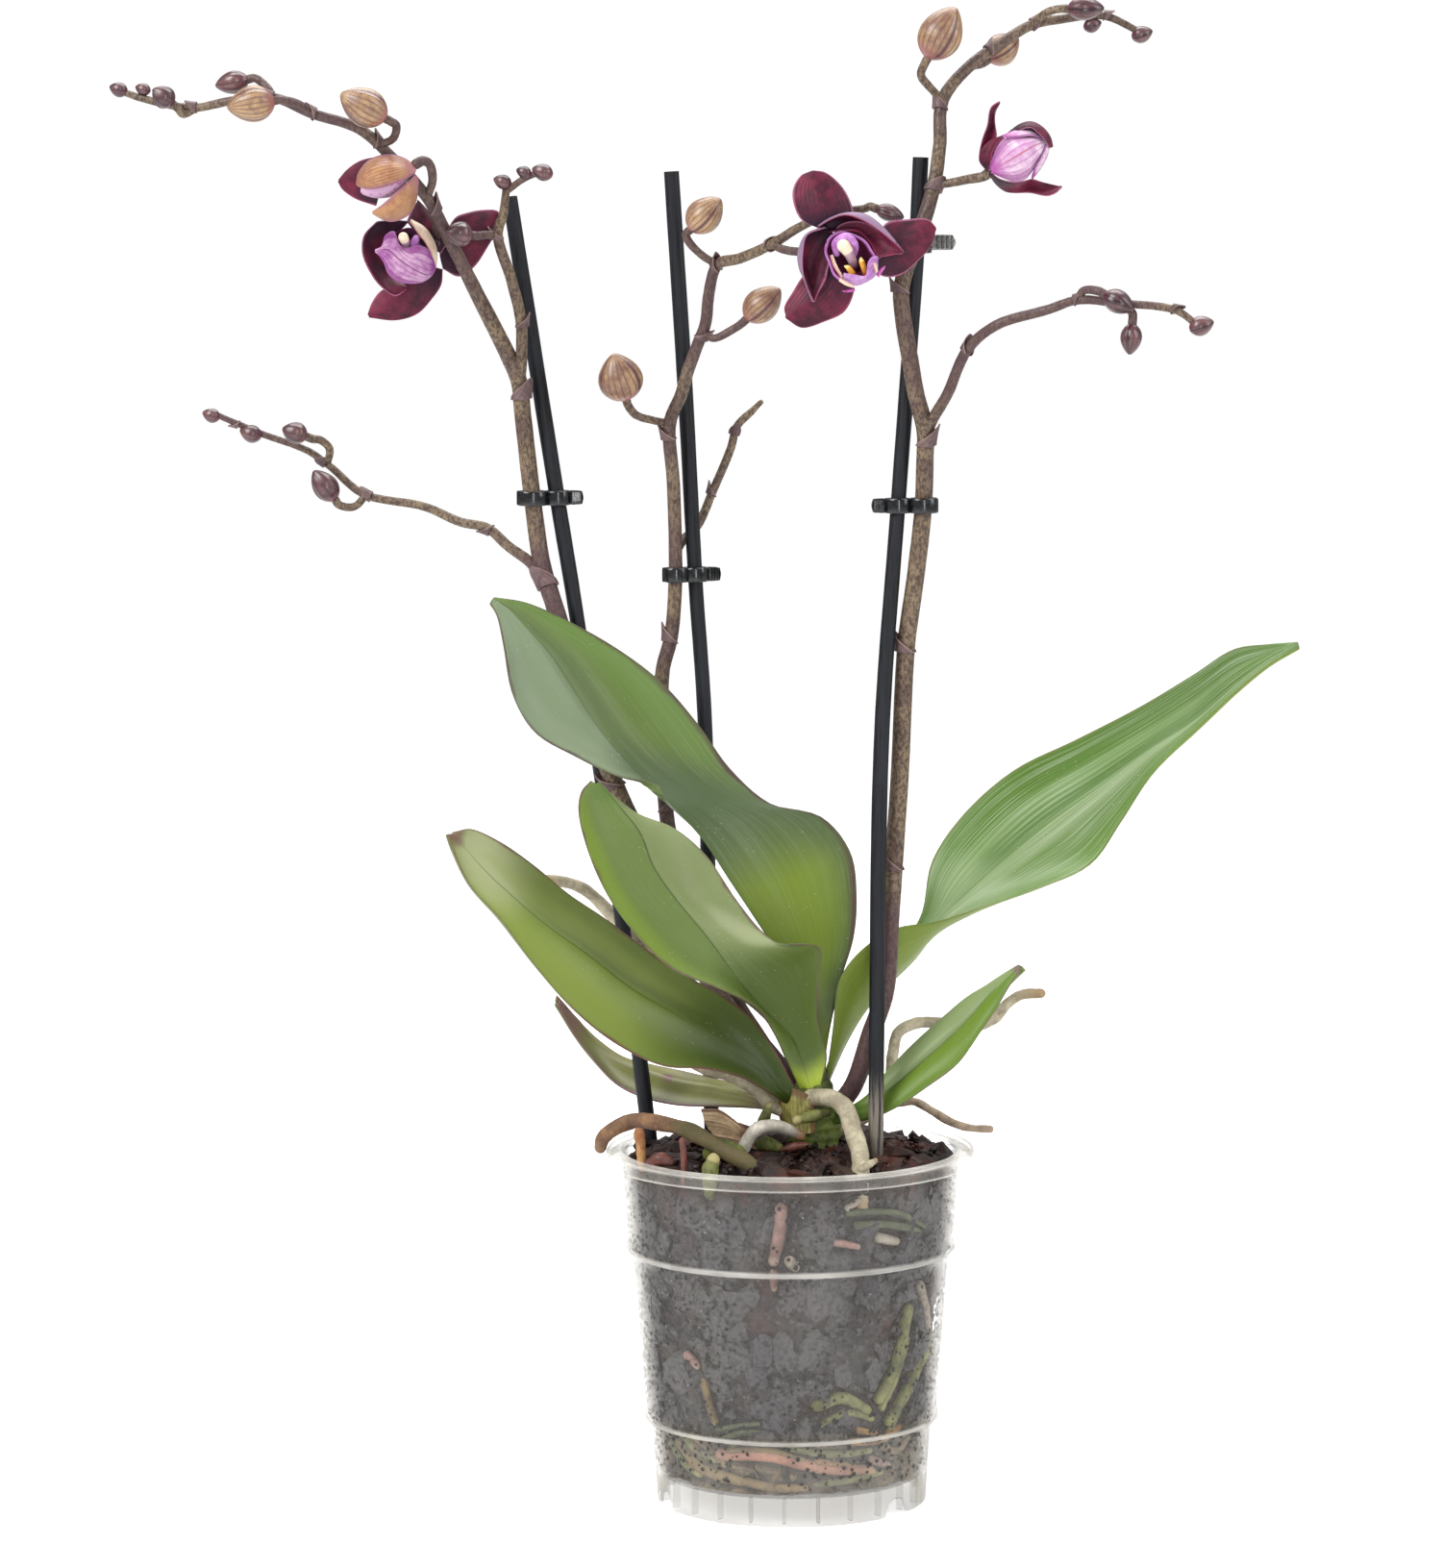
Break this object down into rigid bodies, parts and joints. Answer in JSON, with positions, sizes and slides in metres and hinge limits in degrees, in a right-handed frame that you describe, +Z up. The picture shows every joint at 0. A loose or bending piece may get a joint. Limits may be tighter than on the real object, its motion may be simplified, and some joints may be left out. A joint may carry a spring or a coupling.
{
  "type": "potted orchid",
  "caption": "Moth orchid with flower stems clipped to canes, arching leaves and dark blooms, growing in bark in a clear plastic pot.",
  "frame": {"origin": "middle of the bottom of the whole object's box, on the surface that the pot stands on", "axes": "+Z up, -Y towards the front seen in the picture, +X to the viewer's right"},
  "size_m": [0.3842, 0.125, 0.4877],
  "materials": {
    "air_root": "silver-grey root skin",
    "bark": "damp dark bark chips",
    "bud": "tan bud with purple-brown veins",
    "clip": "glossy black plastic",
    "column": "cream white",
    "crown": "fresh yellow-green plant base",
    "dry_sheath": "dry papery leaf base",
    "furled_petal": "pale lavender with pink veins",
    "leaf": "waxy green leaf",
    "lip": "lavender to magenta",
    "pot_clear_plastic": "clear, slightly milky thin plastic",
    "pot_root": "green to pink root against the wall",
    "stem": "brown-purple speckled flower stem",
    "stick": "dark coated cane",
    "tepal": "velvety dark burgundy"
  },
  "bodies": {
    "root": {"bark": "bark", "bloom_a_column": "column", "bloom_a_lip": "lip", "bloom_a_tepals": "tepal", "bloom_b_column": "column", "bloom_b_lip": "lip", "bloom_b_tepals": "tepal", "bud_branch_left_1": "bud", "bud_branch_left_2": "bud", "bud_branch_right_1": "bud", "bud_branch_right_2": "bud", "bud_left_1": "bud", "bud_left_2": "bud", "bud_left_3": "bud", "bud_left_4": "bud", "bud_left_shoot": "bud", "bud_middle_1": "bud", "bud_middle_2": "bud", "bud_middle_3": "bud", "bud_middle_4": "bud", "bud_right_1": "bud", "bud_right_2": "bud", "bud_right_3": "bud", "clip_left": "clip", "clip_middle": "clip", "clip_right": "clip", "clip_top": "clip", "crown": "crown", "dry_sheath": "dry_sheath", "half_open_c_petals": "furled_petal", "half_open_c_tepals": "tepal", "half_open_d_petals": "furled_petal", "half_open_d_tepals": "bud", "leaf_1": "leaf", "leaf_2": "leaf", "leaf_3": "leaf", "leaf_4": "leaf", "leaf_5": "leaf", "leaf_6": "leaf", "pot": "pot_clear_plastic", "root_grey": "air_root", "root_hook": "air_root", "root_left_aerial": "air_root", "root_right_arch": "air_root", "root_rim_left": "air_root", "root_rim_right": "air_root", "root_under_leaf": "air_root", "spike_left": "stem", "spike_middle": "stem", "spike_right": "stem", "stick_left": "stick", "stick_middle": "stick", "stick_right": "stick", "wall_root_green_inner": "pot_root", "wall_root_green_outer": "pot_root", "wall_root_green_short": "pot_root", "wall_root_olive": "pot_root", "wall_root_pink": "pot_root", "wall_root_vertical": "pot_root"}
  },
  "joints": []
}
